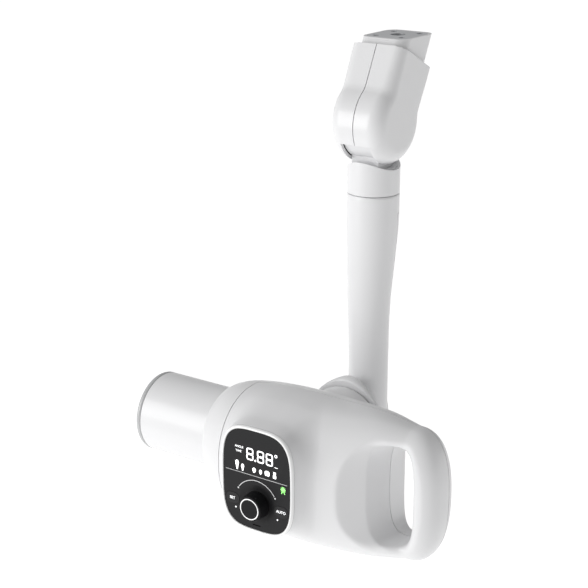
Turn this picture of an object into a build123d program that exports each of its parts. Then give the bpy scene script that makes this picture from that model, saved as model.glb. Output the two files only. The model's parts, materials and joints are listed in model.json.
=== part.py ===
from build123d import *
import os
from collections import namedtuple
from math import cos, sin, tan, pi, radians

# Intraoral x-ray unit: the tubehead with its grip, the vertical stalk, the elbow and the end of the arm.
# Design frame, millimetres: -X is the way the beam leaves the cone, -Y is the side of the control panel,
# +Z is up. The beam axis is the line y = 0, z = 0. Finished nodes are moved so that the origin lies in the
# centre of the arm's level end plate, which is where the unit is bolted on.

# ---- driving dimensions -------------------------------------------------------------------------
WALL = 3.0                     # moulded casing wall
SEAM = 0.3                     # gap between two casings that meet
SHAFT_FIT = 0.05               # radial clearance of a shaft in its bore or bush
TURN_GAP = 0.6                 # gap between covers that turn past each other

CONE_RADIUS = 34.0
CONE_WALL = 2.5
CONE_TIP_X = -152.0            # where the tube ends and its end ring starts
END_RING_LENGTH = 4.5
CONE_SHOULDER_X = -85.0        # the cone is slightly narrower from here to its seat in the socket
CONE_SPIGOT_RADIUS = 33.6
CONE_SEAT_X = -62.0            # inner end of the cone
NOSE_SEAM_X = -56.0            # nose ring meets the main casing
PARTING_Y = 5.0                # front casing meets back casing

Station = namedtuple("Station", "x front back top bottom power")
HEAD_STATIONS = [              # reach of the casing to each side of the beam axis, from nose to grip
    Station(-84.0, 35.6, 35.6, 35.6, -35.6, 2.00),
    Station(-80.5, 40.0, 39.5, 39.0, -41.0, 2.00),
    Station(-70.0, 46.0, 44.0, 44.0, -50.0, 2.10),
    Station(-55.0, 50.5, 46.5, 47.0, -58.5, 2.20),
    Station(-30.0, 53.5, 47.0, 49.5, -66.0, 2.30),
    Station(0.0, 53.0, 46.0, 50.5, -70.0, 2.35),
    Station(35.0, 45.0, 42.0, 50.5, -71.0, 2.40),
    Station(70.0, 33.0, 33.0, 49.5, -69.0, 2.50),
    Station(95.0, 25.0, 25.0, 45.5, -64.5, 2.50),
]
HEAD_END_X = 124.0             # far end of the grip
END_HEIGHT_POWER = 2.6         # squareness of the grip's end, seen from the side
END_DEPTH_POWER = 3.2          # and seen from above

Oval = namedtuple("Oval", "y left right top bottom")
GRIP_OVALS = [                 # the opening of the grip, from the scoop in front to the back
    Oval(-62.0, 33.5, 150.0, 70.0, -100.0),
    Oval(-20.0, 64.5, 105.0, 33.0, -52.0),
    Oval(5.0, 71.0, 104.0, 31.5, -50.5),
    Oval(60.0, 67.0, 108.0, 36.0, -55.0),
]
GRIP_POWER = 3.0
GRIP_WALL = 3.2

PANEL_X = -11.1                # centre of the control panel
PANEL_Z = -5.4
PANEL_HALF_X = 32.2
PANEL_HALF_Z = 42.0
PANEL_POWER = 3.6
PANEL_FACE_Y = -60.0
FASCIA_THICKNESS = 2.5
BEZEL_LIP = 2.3                # width of the rim round the fascia
BEZEL_PROUD = 0.8
POD_FACE_Y = -57.5             # where the casing stops and the bezel starts
POD_ROOT_Y = -22.0
POD_FLARE = 9.0                # the pod widens by this much towards its root

KNOB_Z = -25.5
KNOB_RADIUS = 11.4
KNOB_BASE_Y = -60.0
KNOB_TIP_Y = -70.0
KNOB_RING_RADIUS = 8.4
DISH_RADIUS = 17.0             # dished recess in the fascia round the knob
DISH_DEPTH = 1.0
SHAFT_RADIUS = 3.0
KEY_OFFSET_X = 23.4            # each key's distance from the panel's centre line
KEY_SIZE = (13.0, 9.5)
KEY_GAP = 0.25
KEY_TRAVEL = 0.5
BOARD_Y = -50.0                # front face of the control board
BOARD_THICKNESS = 1.6

TANK = (-48.0, 34.0, -30.0, 27.0, -46.0, 26.0)     # x, y and z limits of the generator tank
TANK_WALL = 4.0
TANK_LID = 4.0
FOCUS_X = 18.0                 # x of the focal spot
BEAM_WINDOW_RADIUS = 9.0

TILT_Z = 6.0                   # the head tilts about an axis along Y at this height
HUB_RADIUS = 34.5
HUB_FACE_Y = 50.0
HUB_PLATE_Y = 39.0
FOOT_RADIUS = 37.8
FOOT_FACE_Y = 51.0
FOOT_RIM = 3.0
FOOT_TUBE_RADIUS = 17.0        # the flare narrows to this at FLARE_END_Y
FLARE_END_Y = 74.0
FOOT_TUBE_END_Y = 96.0
AXLE_RADIUS = 8.0
AXLE_END_Y = 29.0
AXLE_LENGTH_IN_FOOT = 37.0
BUSH_RADIUS = 11.0
BUSH_FLANGE_RADIUS = 14.0
AXLE_HOLE_RADIUS = 14.5

STALK_Y = 88.0                 # the stalk swivels about an axis along Z at this depth
STALK_FRONT_Y = 69.2
WEB_TOP_Z = 66.0               # web between the column and the foot disc
WEB_MIDDLE = (59.0, 50.0)
WEB_FOOT_RISE = 33.0
WEB_HALF_WIDTH = 12.0
SWIVEL_Z = 198.0
COLLAR_RADIUS = 21.5
COVER_WALL = 2.5
BACK_COVER_Y = 92.0
BACK_COVER_TOP = 182.0
CORE_Y = 86.0
CORE_RADIUS = 9.0
SPINDLE_RADIUS = 7.0
SPINDLE_THREAD_RADIUS = 5.0
SPINDLE_BOTTOM_Z = 164.0
SPINDLE_SHOULDER_Z = 206.0     # the thread for the swivel nut starts here
SPINDLE_TOP_Z = 222.0
SWIVEL_BUSH_RADIUS = 9.0

ELBOW_Y = 88.0                 # the elbow bends about an axis along X through this point
ELBOW_Z = 255.5
ELBOW_RADIUS = 32.5
ELBOW_HALF_WIDTH = 25.0
ELBOW_EDGE = 9.0               # rounding of the housing's side edges
SHROUD_HALF_DEPTH = 27.0       # the straight upper part of the housing, across the arm
SHROUD_REACH = 55.3            # its open rim, along the arm from the elbow axis
WAIST_RADIUS = 15.0            # where the round lower part meets the straight upper part
SLOT_HALF_WIDTH = 13.4
SLOT_TOP_FRONT = 241.0
SLOT_TOP_BACK = 262.0
EYE_RADIUS = 29.3
EYE_HALF_WIDTH = 12.5
SADDLE_RADIUS = 36.5           # the collar's wavy top is cut to this radius about the elbow axis
PIN_RADIUS = 6.0
CHEEK_INNER_X = 14.0
CHEEK_OUTER_X = 18.5

ARM_ANGLE = 63.0               # the arm rises at this angle above level, towards +Y
ARM_HALF_WIDTH = 21.5
ARM_HALF_DEPTH = 22.3
ARM_END_Z = 321.0
ARM_COVER_START = 34.0         # distance from the elbow axis, along the arm
CLEVIS_WEB = (32.0, 46.0)
BEAM_HALF = 14.0
BEAM_WALL = 3.0
END_PLATE_THICKNESS = 8.0
END_BOLT_SPACING = (24.0, 28.0)
END_BOLT_RADIUS = 2.5
CABLE_HOLE_RADIUS = 6.0

ARM_END_Y = ELBOW_Y + (ARM_END_Z - ELBOW_Z) / tan(radians(ARM_ANGLE))
ORIGIN = (0.0, ARM_END_Y, ARM_END_Z)
ARM_FRAME = Plane(
    origin=(0, ELBOW_Y, ELBOW_Z),
    x_dir=(1, 0, 0),
    z_dir=(0, cos(radians(ARM_ANGLE)), sin(radians(ARM_ANGLE))),
)
FAR = 400.0                    # larger than the object, for cutting tools


# ---- small helpers ------------------------------------------------------------------------------
def block(x0, x1, y0, y1, z0, z1):
    center = Pos((x0 + x1) / 2, (y0 + y1) / 2, (z0 + z1) / 2)
    return center * Box(abs(x1 - x0), abs(y1 - y0), abs(z1 - z0))


def rod_x(radius, x0, x1, y=0.0, z=0.0):
    return Pos((x0 + x1) / 2, y, z) * Rot(0, 90, 0) * Cylinder(radius, abs(x1 - x0))


def rod_y(radius, y0, y1, x=0.0, z=0.0):
    return Pos(x, (y0 + y1) / 2, z) * Rot(90, 0, 0) * Cylinder(radius, abs(y1 - y0))


def rod_z(radius, z0, z1, x=0.0, y=0.0):
    return Pos(x, y, (z0 + z1) / 2) * Cylinder(radius, abs(z1 - z0))


def tube_x(outer, inner, x0, x1, y=0.0, z=0.0):
    return rod_x(outer, x0, x1, y, z) - rod_x(inner, min(x0, x1) - 1, max(x0, x1) + 1, y, z)


def tube_y(outer, inner, y0, y1, x=0.0, z=0.0):
    return rod_y(outer, y0, y1, x, z) - rod_y(inner, y0 - 1, y1 + 1, x, z)


def tube_z(outer, inner, z0, z1, x=0.0, y=0.0):
    return rod_z(outer, z0, z1, x, y) - rod_z(inner, z0 - 1, z1 + 1, x, y)


def group(shapes):
    """Separate solids that share one node."""
    return Compound(children=[solid for shape in shapes for solid in shape.solids()])


def oval_points(half_u, half_v, power, count=40):
    """Points of a superellipse: power 2 is an ellipse, a larger power is squarer."""
    points = []
    for i in range(count):
        turn = 2 * pi * i / count
        c = cos(turn)
        s = sin(turn)
        u = half_u * abs(c) ** (2 / power) * (1 if c >= 0 else -1)
        v = half_v * abs(s) ** (2 / power) * (1 if s >= 0 else -1)
        points.append((u, v))
    return points


def head_section(x, front, back, half_z, power, center_z):
    """Outline across the beam, which may reach further to the front than to the back."""
    points = []
    for u, v in oval_points(1.0, half_z, power):
        points.append((x, u * (back if u > 0 else front), center_z + v))
    return Face(Wire([Edge.make_spline(points, periodic=True)]))


def oval_at_y(y, half_x, half_z, power, center_x, center_z):
    points = [(center_x + u, y, center_z + v) for u, v in oval_points(half_x, half_z, power)]
    return Face(Wire([Edge.make_spline(points, periodic=True)]))


def oval_at_z(z, half_x, half_y, power, center_y):
    points = [(u, center_y + v, z) for u, v in oval_points(half_x, half_y, power)]
    return Face(Wire([Edge.make_spline(points, periodic=True)]))


def panel_oval(y, grow=0.0):
    return oval_at_y(y, PANEL_HALF_X + grow, PANEL_HALF_Z + grow, PANEL_POWER, PANEL_X, PANEL_Z)


def panel_prism(y0, y1, grow=0.0):
    return extrude(panel_oval(y0, grow), dir=(0, 1, 0), amount=y1 - y0)


def save(name, shape):
    placed = Pos(-ORIGIN[0], -ORIGIN[1], -ORIGIN[2]) * shape
    export_step(placed, f"parts/{name}.step")


# ---- head casing --------------------------------------------------------------------------------
def head_stations():
    """The listed stations, then the rounded end of the grip."""
    last = HEAD_STATIONS[-1]
    middle = (last.top + last.bottom) / 2
    half_height = (last.top - last.bottom) / 2
    stations = list(HEAD_STATIONS)
    for share in (0.35, 0.62, 0.82, 0.94, 0.99):
        height = half_height * (1 - share ** END_HEIGHT_POWER) ** (1 / END_HEIGHT_POWER)
        depth = last.front * (1 - 0.2 * share) * (1 - share ** END_DEPTH_POWER) ** (1 / END_DEPTH_POWER)
        x = last.x + share * (HEAD_END_X - last.x)
        stations.append(Station(x, depth, depth, middle + height, middle - height, last.power))
    return stations


def head_body(inset=0.0):
    """The head's outer form, or the space inside its wall."""
    sections = []
    for st in head_stations():
        half_height = (st.top - st.bottom) / 2 - inset
        center_z = (st.top + st.bottom) / 2
        if st.front - inset > WALL:
            front = st.front - inset
            back = st.back - inset
            sections.append(head_section(st.x, front, back, half_height, st.power, center_z))
    return loft(sections)


def panel_pod(inset=0.0):
    front = panel_oval(POD_FACE_Y, BEZEL_LIP - inset)
    root = panel_oval(POD_ROOT_Y, BEZEL_LIP + POD_FLARE - inset)
    return loft([front, root])


def grip_opening(grow=0.0):
    """Tapered opening through the grip, with the wide scoop in front of it."""
    faces = []
    for oval in GRIP_OVALS:
        half_x = (oval.right - oval.left) / 2 + grow
        half_z = (oval.top - oval.bottom) / 2 + grow
        center_x = (oval.right + oval.left) / 2
        center_z = (oval.top + oval.bottom) / 2
        faces.append(oval_at_y(oval.y, half_x, half_z, GRIP_POWER, center_x, center_z))
    return loft(faces, ruled=True)


CASING_BOSSES = [(-40.0, 34.0, 27.0), (-40.0, -53.0, 28.0), (44.0, 36.0, 24.0), (44.0, -57.0, 24.0),
                 (114.5, -8.0, 12.0)]          # x, z and the depth at which each screw head sits
BOSS_RADIUS = 4.0
SCREW_SHANK_RADIUS = 1.5
SCREW_HEAD_RADIUS = 2.8
SCREW_HEAD_LENGTH = 2.0
SCREW_DEPTH = 14.0


def head_casing():
    outer = head_body() + panel_pod() + rod_y(HUB_RADIUS, 0, HUB_FACE_Y, 0, TILT_Z)
    outer = outer - grip_opening()
    inner = head_body(WALL) + panel_pod(WALL) + rod_y(HUB_RADIUS - WALL, 0, HUB_FACE_Y - WALL, 0, TILT_Z)
    inner = inner - grip_opening(GRIP_WALL)
    for x, z, seat in CASING_BOSSES:
        inner = inner - rod_y(BOSS_RADIUS, -FAR, FAR, x, z)
    opening = panel_prism(POD_FACE_Y - WALL, POD_FACE_Y + WALL, BEZEL_LIP - WALL)
    mouth = rod_x(CONE_RADIUS + SEAM, -FAR, NOSE_SEAM_X)
    axle_hole = rod_y(AXLE_HOLE_RADIUS, HUB_FACE_Y - 2 * WALL, FAR, 0, TILT_Z)
    casing = outer - inner - opening - mouth - axle_hole
    for x, z, seat in CASING_BOSSES:
        casing = casing - rod_y(SCREW_HEAD_RADIUS + SEAM, seat, FAR, x, z)
        casing = casing - rod_y(SCREW_SHANK_RADIUS + SHAFT_FIT, seat - SCREW_DEPTH, seat + 1, x, z)
    return casing


def build_head_casing():
    casing = head_casing()
    half_seam = SEAM / 2
    nose_cut = block(-FAR, NOSE_SEAM_X - half_seam, -FAR, FAR, -FAR, FAR)
    main = block(NOSE_SEAM_X + half_seam, FAR, -FAR, FAR, -FAR, FAR)
    front = block(-FAR, FAR, -FAR, PARTING_Y - half_seam, -FAR, FAR)
    back = block(-FAR, FAR, PARTING_Y + half_seam, FAR, -FAR, FAR)
    save("head_nose_ring", casing & nose_cut)
    save("head_front_shell", casing & main & front)
    save("head_back_shell", casing & main & back)
    screws = []
    for x, z, seat in CASING_BOSSES:
        head = rod_y(SCREW_HEAD_RADIUS, seat, seat + SCREW_HEAD_LENGTH, x, z)
        shank = rod_y(SCREW_SHANK_RADIUS, seat - SCREW_DEPTH + 1, seat, x, z)
        screws.append(head + shank)
    save("head_screws", group(screws))


# ---- cone and what shapes the beam --------------------------------------------------------------
def build_cone():
    inner = CONE_RADIUS - CONE_WALL
    tip = CONE_TIP_X - END_RING_LENGTH
    spigot = tube_x(CONE_SPIGOT_RADIUS, inner, CONE_SHOULDER_X, CONE_SEAT_X)
    save("cone_tube", tube_x(CONE_RADIUS, inner, CONE_TIP_X, CONE_SHOULDER_X) + spigot)
    ring = tube_x(CONE_RADIUS, inner, tip, CONE_TIP_X)
    ring = fillet(ring.edges().filter_by(GeomType.CIRCLE).group_by(Axis.X)[0], 1.0)
    lip = tube_x(inner - SHAFT_FIT, inner - 1.2, tip + 2, CONE_TIP_X + 5)
    save("cone_end_ring", ring + lip + tube_x(inner + 0.5, inner - 1.2, tip + 2, CONE_TIP_X - 0.5))
    save("cone_lead_liner", tube_x(inner - 0.1, inner - 0.6, CONE_TIP_X + 6, CONE_SEAT_X - 4))
    socket = tube_x(38.0, CONE_SPIGOT_RADIUS + SHAFT_FIT, -76.0, CONE_SEAT_X)
    flange = tube_x(41.0, 24.0, CONE_SEAT_X, CONE_SEAT_X + 3)
    save("cone_socket", socket + flange)
    save("collimator_plate", tube_x(40.0, 11.0, CONE_SEAT_X + 3, CONE_SEAT_X + 5.5))
    save("beam_filter", rod_x(15.0, TANK[0] - 2.5, TANK[0]))


# ---- generator inside the head ------------------------------------------------------------------
def build_generator():
    x0, x1, y0, y1, z0, z1 = TANK
    tank = fillet(block(*TANK).edges().filter_by(Axis.X), 6)
    room = block(x0 + TANK_WALL, x1 + 1, y0 + TANK_WALL, y1 - TANK_WALL, z0 + TANK_WALL, z1 - TANK_WALL)
    window = rod_x(BEAM_WINDOW_RADIUS, x0 - 1, x0 + TANK_WALL + 1)
    save("generator_tank", tank - room - window)
    lid = fillet(block(x1, x1 + TANK_LID, y0, y1, z0, z1).edges().filter_by(Axis.X), 6)
    screws = []
    for y in (y0 + 7, y1 - 7):
        for z in (z0 + 7, z1 - 7):
            lid = lid - rod_x(2.1, x1 - 1, x1 + TANK_LID + 1, y, z)
            screws.append(rod_x(2.0, x1, x1 + TANK_LID, y, z) + rod_x(3.5, x1 + TANK_LID, x1 + 6.5, y, z))
    save("tank_lid", lid)
    save("tank_screws", group(screws))

    middle_y = (y0 + y1) / 2
    glass = rod_z(14.0, -38.0, 20.0, FOCUS_X, middle_y)
    glass = glass - rod_z(12.5, -36.5, 18.5, FOCUS_X, middle_y)
    save("xray_tube_glass", glass)
    anode = rod_z(8.0, 4.0, 18.5, FOCUS_X, middle_y) + rod_z(4.0, 0.0, 4.0, FOCUS_X, middle_y)
    save("anode", anode)
    cathode = rod_z(6.0, -36.5, -22.0, FOCUS_X, middle_y) + rod_z(3.5, -22.0, -12.0, FOCUS_X, middle_y)
    save("cathode", cathode)
    core = block(-42.0, -2.0, -20.0, 17.0, -41.0, -13.0) - block(-35.0, -9.0, -21.0, 18.0, -35.0, -19.0)
    save("transformer_core", core)
    coil = block(-34.5, -9.5, -21.0, 18.0, -34.5, -19.5)
    save("transformer_coil", fillet(coil.edges().filter_by(Axis.Y), 3))


def build_boards():
    board_back = BOARD_Y + BOARD_THICKNESS
    board = panel_prism(BOARD_Y, board_back, -4.5)
    inverter = block(-37.0, 15.0, -38.0, -36.4, -41.0, 21.0)
    standoffs = []
    for x in (-32.0, 10.0):
        for z in (-34.0, 16.0):
            standoffs.append(rod_y(2.5, board_back, TANK[2], x, z))
            inverter = inverter - rod_y(2.6, -39.0, -35.0, x, z)
    for x, z in ((-22.0, -30.0), (-11.0, -30.0), (0.0, -30.0), (-17.0, 8.0), (-3.0, 8.0)):
        inverter = inverter + rod_y(4.5, -46.5, -37.9, x, z)
    save("control_board", board)
    save("board_standoffs", group(standoffs))
    save("inverter_board", inverter)
    save("display_module", block(PANEL_X - 21, PANEL_X + 21, BOARD_Y - 6.5, BOARD_Y, 1.0, 27.0))
    encoder = block(PANEL_X - 6, PANEL_X + 6, BOARD_Y - 6, BOARD_Y, KNOB_Z - 6, KNOB_Z + 6)
    encoder = encoder - rod_y(SHAFT_RADIUS + SHAFT_FIT, BOARD_Y - 7, BOARD_Y - 1, PANEL_X, KNOB_Z)
    save("encoder_body", encoder)
    save("buzzer", rod_y(4.3, BOARD_Y - 5, BOARD_Y, PANEL_X, -38.5))
    switches = []
    for side in (-1, 1):
        x = PANEL_X + side * KEY_OFFSET_X
        switches.append(block(x - 3, x + 3, BOARD_Y - 3, BOARD_Y, KNOB_Z - 3, KNOB_Z + 3))
    save("key_switches", group(switches))


# ---- control panel ------------------------------------------------------------------------------
LED_SPOTS = [(-31.6, -32.8), (8.8, -33.0)]
LED_RADIUS = 0.6
STATUS_SPOT = (14.3, -6.1)
STATUS_RADIUS = 2.8


def key_cap(x, grow, y0, y1):
    half_x = KEY_SIZE[0] / 2 + grow
    half_z = KEY_SIZE[1] / 2 + grow
    cap = block(x - half_x, x + half_x, y0, y1, KNOB_Z - half_z, KNOB_Z + half_z)
    return fillet(cap.edges().filter_by(Axis.Y), half_z - 0.2)


def build_panel():
    face = PANEL_FACE_Y
    back = face + FASCIA_THICKNESS
    bezel = panel_prism(face - BEZEL_PROUD, POD_FACE_Y, BEZEL_LIP)
    bezel = bezel - panel_prism(face - 2, back, KEY_GAP / 2) - panel_prism(back - 1, POD_FACE_Y + 1, -2.0)
    save("panel_bezel", bezel)

    fascia = panel_prism(face, back)
    dish = Cone(DISH_RADIUS, KNOB_RADIUS + 1, DISH_DEPTH)
    fascia = fascia - Pos(PANEL_X, face + DISH_DEPTH / 2, KNOB_Z) * Rot(-90, 0, 0) * dish
    fascia = fascia - rod_y(SHAFT_RADIUS + 1, face - 1, back + 1, PANEL_X, KNOB_Z)
    fascia = fascia - block(PANEL_X - 4, PANEL_X + 3.5, face - 1, back + 1, -43.9, -42.9)
    fascia = fascia - rod_y(STATUS_RADIUS + 0.1, face - 1, back + 1, *STATUS_SPOT)
    for x, z in LED_SPOTS:
        fascia = fascia - rod_y(LED_RADIUS + 0.1, face - 1, back + 1, x, z)
    for side in (-1, 1):
        fascia = fascia - key_cap(PANEL_X + side * KEY_OFFSET_X, KEY_GAP, face - 1, back + 1)
    save("panel_fascia", fascia)
    save("indicator_leds", group([rod_y(LED_RADIUS, face - 0.1, BOARD_Y, x, z) for x, z in LED_SPOTS]))
    save("status_lens", rod_y(STATUS_RADIUS, face - 0.1, BOARD_Y, *STATUS_SPOT))

    for side, name in ((-1, "set_key"), (1, "auto_key")):
        x = PANEL_X + side * KEY_OFFSET_X
        stem = rod_y(2.0, back - 1, BOARD_Y - 3 - KEY_TRAVEL - 0.1, x, KNOB_Z)
        save(name, key_cap(x, 0, face - 0.2, back - KEY_TRAVEL - 0.1) + stem)


def build_knob():
    depth = KNOB_BASE_Y - KNOB_TIP_Y
    skirt = Pos(PANEL_X, (KNOB_BASE_Y + KNOB_TIP_Y) / 2, KNOB_Z) * Rot(90, 0, 0) * Cone(
        KNOB_RADIUS, KNOB_RADIUS - 0.9, depth)
    skirt = fillet(skirt.edges().group_by(Axis.Y)[0], 0.8)
    ring_width = 0.45
    groove = tube_y(KNOB_RING_RADIUS + ring_width, KNOB_RING_RADIUS - ring_width,
                    KNOB_TIP_Y - 1, KNOB_TIP_Y + 1, PANEL_X, KNOB_Z)
    bore = rod_y(SHAFT_RADIUS + SHAFT_FIT, KNOB_TIP_Y + 3, KNOB_BASE_Y + 1, PANEL_X, KNOB_Z)
    room = tube_y(KNOB_RADIUS - 2.5, SHAFT_RADIUS + 2, KNOB_TIP_Y + 3, KNOB_BASE_Y + 1, PANEL_X, KNOB_Z)
    save("knob_skirt", skirt - groove - bore - room)
    save("knob_ring", tube_y(KNOB_RING_RADIUS + ring_width - 0.02, KNOB_RING_RADIUS - ring_width + 0.02,
                             KNOB_TIP_Y - 0.1, KNOB_TIP_Y + 1, PANEL_X, KNOB_Z))
    save("encoder_shaft", rod_y(SHAFT_RADIUS, KNOB_TIP_Y + 3, BOARD_Y - 2, PANEL_X, KNOB_Z))


# ---- tilt joint between head and stalk ----------------------------------------------------------
def hex_nut(radius, bore, y0, y1, x, z):
    nut = Plane(origin=(x, y0, z), x_dir=(1, 0, 0), z_dir=(0, 1, 0)) * RegularPolygon(radius, 6)
    return extrude(nut, amount=y1 - y0) - rod_y(bore, y0 - 1, y1 + 1, x, z)


def build_tilt_joint():
    plate = rod_y(HUB_RADIUS - WALL - 0.5, HUB_PLATE_Y, HUB_FACE_Y - WALL, 0, TILT_Z)
    plate = plate - rod_y(BUSH_RADIUS + SHAFT_FIT, HUB_PLATE_Y - 1, HUB_FACE_Y, 0, TILT_Z)
    save("hub_plate", plate)
    save("hub_pillars", group([rod_y(3.5, TANK[3], HUB_PLATE_Y, x, z)
                               for x in (-19.0, 19.0) for z in (TILT_Z - 16.0, TILT_Z + 13.0)]))
    bore = AXLE_RADIUS + SHAFT_FIT
    bush = tube_y(BUSH_RADIUS, bore, HUB_PLATE_Y, HUB_FACE_Y - WALL, 0, TILT_Z)
    save("hub_bush", bush + tube_y(BUSH_FLANGE_RADIUS, bore, HUB_FACE_Y - WALL, HUB_FACE_Y, 0, TILT_Z))
    save("tilt_axle", rod_y(AXLE_RADIUS, AXLE_END_Y, FOOT_FACE_Y + AXLE_LENGTH_IN_FOOT, 0, TILT_Z))
    nut_washer = tube_y(13.0, bore, HUB_PLATE_Y - 2.3, HUB_PLATE_Y - SEAM, 0, TILT_Z)
    friction_washer = tube_y(30.0, bore, HUB_FACE_Y + SEAM, FOOT_FACE_Y, 0, TILT_Z)
    save("tilt_washers", group([nut_washer, friction_washer]))
    save("tilt_nut", hex_nut(13.0, bore, AXLE_END_Y + 1, HUB_PLATE_Y - 2.3, 0, TILT_Z))


# ---- stalk --------------------------------------------------------------------------------------
def stalk_column(inset=0.0):
    top = SWIVEL_Z - inset
    sections = [
        oval_at_z(top, COLLAR_RADIUS - inset, COLLAR_RADIUS - inset, 2, STALK_Y),
        oval_at_z(172.0, 21.4 - inset, 21.2 - inset, 2, 87.7),
        oval_at_z(140.0, 19.9 - inset, 19.0 - inset, 2, 86.0),
        oval_at_z(105.0, 18.2 - inset, 16.5 - inset, 2, 84.0),
        oval_at_z(60.0, 17.2 - inset, 15.6 - inset, 2, 84.6),
        oval_at_z(TILT_Z, 17.2 - inset, 15.6 - inset, 2, 84.6),
    ]
    return loft(sections)


def stalk_foot():
    """Trumpet that flares from the column to the disc against the head."""
    disc_back = FOOT_FACE_Y + FOOT_RIM
    profile = Polyline((0, FOOT_FACE_Y), (FOOT_RADIUS, FOOT_FACE_Y), (FOOT_RADIUS, disc_back))
    flare_end = (FOOT_TUBE_RADIUS, FLARE_END_Y)
    flare = TangentArc((FOOT_RADIUS, disc_back), flare_end, tangent=(-1, 0.12))
    tube_end = (FOOT_TUBE_RADIUS, FOOT_TUBE_END_Y)
    closing = Polyline(flare_end, tube_end, (0, FOOT_TUBE_END_Y), (0, FOOT_FACE_Y))
    face = Face(Wire([*profile.edges(), *flare.edges(), *closing.edges()]))
    return Pos(0, 0, TILT_Z) * revolve(face, axis=Axis.Y)


def foot_web():
    """Solid web that carries the column's front face down into the foot disc."""
    disc_back = FOOT_FACE_Y + FOOT_RIM
    side_plane = Plane(origin=(0, 0, 0), x_dir=(0, 1, 0), z_dir=(1, 0, 0))
    top = (STALK_FRONT_Y, WEB_TOP_Z)
    sweep = ThreePointArc((disc_back, TILT_Z + WEB_FOOT_RISE), WEB_MIDDLE, top)
    foot = (disc_back, TILT_Z + WEB_FOOT_RISE)
    rest = Polyline(top, (STALK_Y, WEB_TOP_Z), (STALK_Y, TILT_Z), (disc_back, TILT_Z), foot)
    face = Face(Wire([*sweep.edges(), *rest.edges()]))
    return extrude(side_plane * face, amount=WEB_HALF_WIDTH, both=True)


COVER_SCREW_Z = [(150.0, 100.0), (95.0, 96.5), (45.0, 96.5)]     # height and seat of each screw


def build_stalk():
    outer = stalk_column() + stalk_foot() + foot_web()
    inner = stalk_column(COVER_WALL) + rod_y(15.0, FOOT_FACE_Y + 2.5, 93.5, 0, TILT_Z)
    bores = rod_y(AXLE_RADIUS + SHAFT_FIT, FOOT_FACE_Y - 1, FOOT_FACE_Y + 5, 0, TILT_Z)
    shell = outer - inner - bores - rod_z(17.5, SWIVEL_Z - 20, SWIVEL_Z + 1, 0, STALK_Y)
    back_zone = block(-FAR, FAR, BACK_COVER_Y, FAR, -FAR, BACK_COVER_TOP)
    back_room = block(-FAR, FAR, BACK_COVER_Y + SEAM, FAR, -FAR, BACK_COVER_TOP - SEAM)
    save("stalk_shell", shell - back_zone)

    cover = shell & back_room
    screws = []
    for z, seat in COVER_SCREW_Z:
        cover = cover + (rod_y(4.5, CORE_Y + CORE_RADIUS + 0.3, seat + 4, 0, z) & outer)
        cover = cover - rod_y(SCREW_HEAD_RADIUS + SEAM, seat, FAR, 0, z)
        cover = cover - rod_y(SCREW_SHANK_RADIUS + SHAFT_FIT, CORE_Y, seat + 1, 0, z)
        screws.append(rod_y(SCREW_HEAD_RADIUS, seat, seat + SCREW_HEAD_LENGTH, 0, z)
                      + rod_y(SCREW_SHANK_RADIUS, CORE_Y + CORE_RADIUS + 0.1, seat, 0, z))
    save("stalk_back_cover", cover)
    save("stalk_cover_screws", group(screws))

    core = rod_z(CORE_RADIUS, TILT_Z, 165, 0, CORE_Y) + rod_z(14.0, 160, 186, 0, STALK_Y)
    core = core + rod_z(17.0, 184, SWIVEL_Z - 0.4, 0, STALK_Y)
    core = core + rod_y(14.5, FOOT_FACE_Y + 3, 93, 0, TILT_Z)
    core = core - rod_z(CORE_RADIUS - 3, 24, 158, 0, CORE_Y)
    core = core - rod_z(SPINDLE_RADIUS + SHAFT_FIT, SPINDLE_BOTTOM_Z, SWIVEL_Z + 1, 0, STALK_Y)
    core = core - rod_y(AXLE_RADIUS + SHAFT_FIT, FOOT_FACE_Y, FOOT_FACE_Y + AXLE_LENGTH_IN_FOOT, 0, TILT_Z)
    save("stalk_core", core)
    spindle = rod_z(SPINDLE_RADIUS, SPINDLE_BOTTOM_Z, SPINDLE_SHOULDER_Z, 0, STALK_Y)
    thread = rod_z(SPINDLE_THREAD_RADIUS, SPINDLE_SHOULDER_Z, SPINDLE_TOP_Z, 0, STALK_Y)
    save("swivel_spindle", spindle + thread)
    washer = tube_z(16.0, SPINDLE_RADIUS + SHAFT_FIT, SWIVEL_Z - 0.4, SWIVEL_Z + 0.6, 0, STALK_Y)
    save("swivel_thrust_washer", washer)
    nut = Pos(0, STALK_Y, 215) * extrude(RegularPolygon(8.5, 6), amount=5)
    save("swivel_nut", nut - rod_z(SPINDLE_THREAD_RADIUS + SHAFT_FIT, 214, 221, 0, STALK_Y))


# ---- neck between swivel and elbow --------------------------------------------------------------
def saddle_cut(radius):
    return rod_x(radius, -FAR, FAR, ELBOW_Y, ELBOW_Z)


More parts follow.
